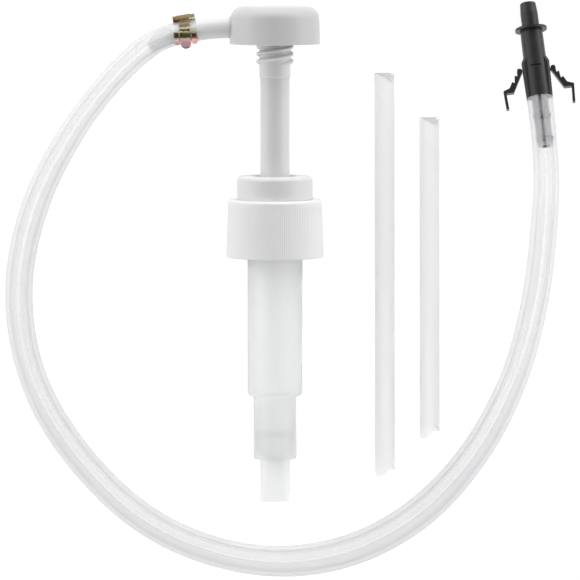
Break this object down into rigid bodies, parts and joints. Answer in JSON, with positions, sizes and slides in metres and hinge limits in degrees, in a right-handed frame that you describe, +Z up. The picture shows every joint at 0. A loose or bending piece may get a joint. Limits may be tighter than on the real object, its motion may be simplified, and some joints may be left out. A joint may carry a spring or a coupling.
{
  "type": "dosing pump",
  "caption": "Hand dosing pump with a screw closure, a push head with a side spout, a clear hose to a push-in connector, and two spare dip tubes.",
  "frame": {"origin": "on the pump's axis, in the plane where the gasket seals on the bottle's neck", "axes": "the pump lies flat: +Y along its axis towards the head, +Z up from the table, +X towards the spare dip tubes"},
  "size_m": [0.2574, 0.261, 0.044],
  "materials": {
    "white_plastic": "moulded polypropylene, white, lightly glossy",
    "housing_plastic": "moulded polypropylene, natural white",
    "gasket_foam": "soft polyethylene",
    "seal_plastic": "soft polyethylene",
    "ball_steel": "polished stainless steel",
    "spring_steel": "drawn stainless steel wire",
    "clear_hose": "clear vinyl, a little milky",
    "yellow_zinc": "spring steel with an iridescent yellow zinc coat",
    "black_plastic": "moulded acetal, black, satin",
    "insert_plastic": "moulded plastic, smoky grey, a little see-through",
    "tube_plastic": "extruded polyethylene, natural white"
  },
  "bodies": {
    "pump_body": {"housing": "housing_plastic", "collar": "white_plastic", "stem_wiper": "seal_plastic", "gasket": "gasket_foam", "inlet_cage": "housing_plastic"},
    "closure_cap": {"closure": "white_plastic"},
    "plunger": {"piston": "seal_plastic", "return_spring": "spring_steel"},
    "head": {"pump_head": "white_plastic", "stem": "white_plastic", "piston_retainer": "housing_plastic", "hose": "clear_hose", "hose_clamp": "yellow_zinc", "connector": "black_plastic", "connector_insert": "insert_plastic"},
    "inlet_valve": {"inlet_ball": "ball_steel"},
    "outlet_valve": {"outlet_ball": "ball_steel"},
    "right_arm": {"clip_arm_right": "black_plastic"},
    "left_arm": {"clip_arm_left": "black_plastic"},
    "long_tube": {"long_dip_tube": "tube_plastic"},
    "short_tube": {"short_dip_tube": "tube_plastic"}
  },
  "joints": [
    {"name": "closure_spin", "type": "hinge", "parent": "pump_body", "child": "closure_cap", "pos_m": [0, 0, 0], "axis": [0, 1, 0], "continuous": true},
    {"name": "plunger_stroke", "type": "slide", "parent": "pump_body", "child": "plunger", "axis": [0, -1, 0], "range_m": [0, 0.05], "stiffness_N_per_m": 250, "springref_m": -0.06, "deforming": ["return_spring"]},
    {"name": "head_swivel", "type": "hinge", "parent": "plunger", "child": "head", "pos_m": [0, 0, 0], "axis": [0, 1, 0], "continuous": true},
    {"name": "inlet_ball_lift", "type": "slide", "parent": "pump_body", "child": "inlet_valve", "axis": [0, 1, 0], "range_m": [0, 0.0025]},
    {"name": "outlet_ball_lift", "type": "slide", "parent": "head", "child": "outlet_valve", "axis": [0, 1, 0], "range_m": [0, 0.003]},
    {"name": "right_arm_squeeze", "type": "hinge", "parent": "head", "child": "right_arm", "pos_m": [0.12512, 0.06238, -0.00934], "axis": [0.0342, -0.2912, -0.956], "range_deg": [0, 18], "stiffness_Nm_per_rad": 0.05},
    {"name": "left_arm_squeeze", "type": "hinge", "parent": "head", "child": "left_arm", "pos_m": [0.11013, 0.06062, -0.00934], "axis": [-0.0342, 0.2912, 0.956], "range_deg": [0, 18], "stiffness_Nm_per_rad": 0.05},
    {"name": "long_tube_lift", "type": "slide", "parent": "pump_body", "child": "long_tube", "axis": [0, 0, 1], "range_m": [0, 0.05]},
    {"name": "short_tube_lift", "type": "slide", "parent": "pump_body", "child": "short_tube", "axis": [0, 0, 1], "range_m": [0, 0.05]}
  ]
}
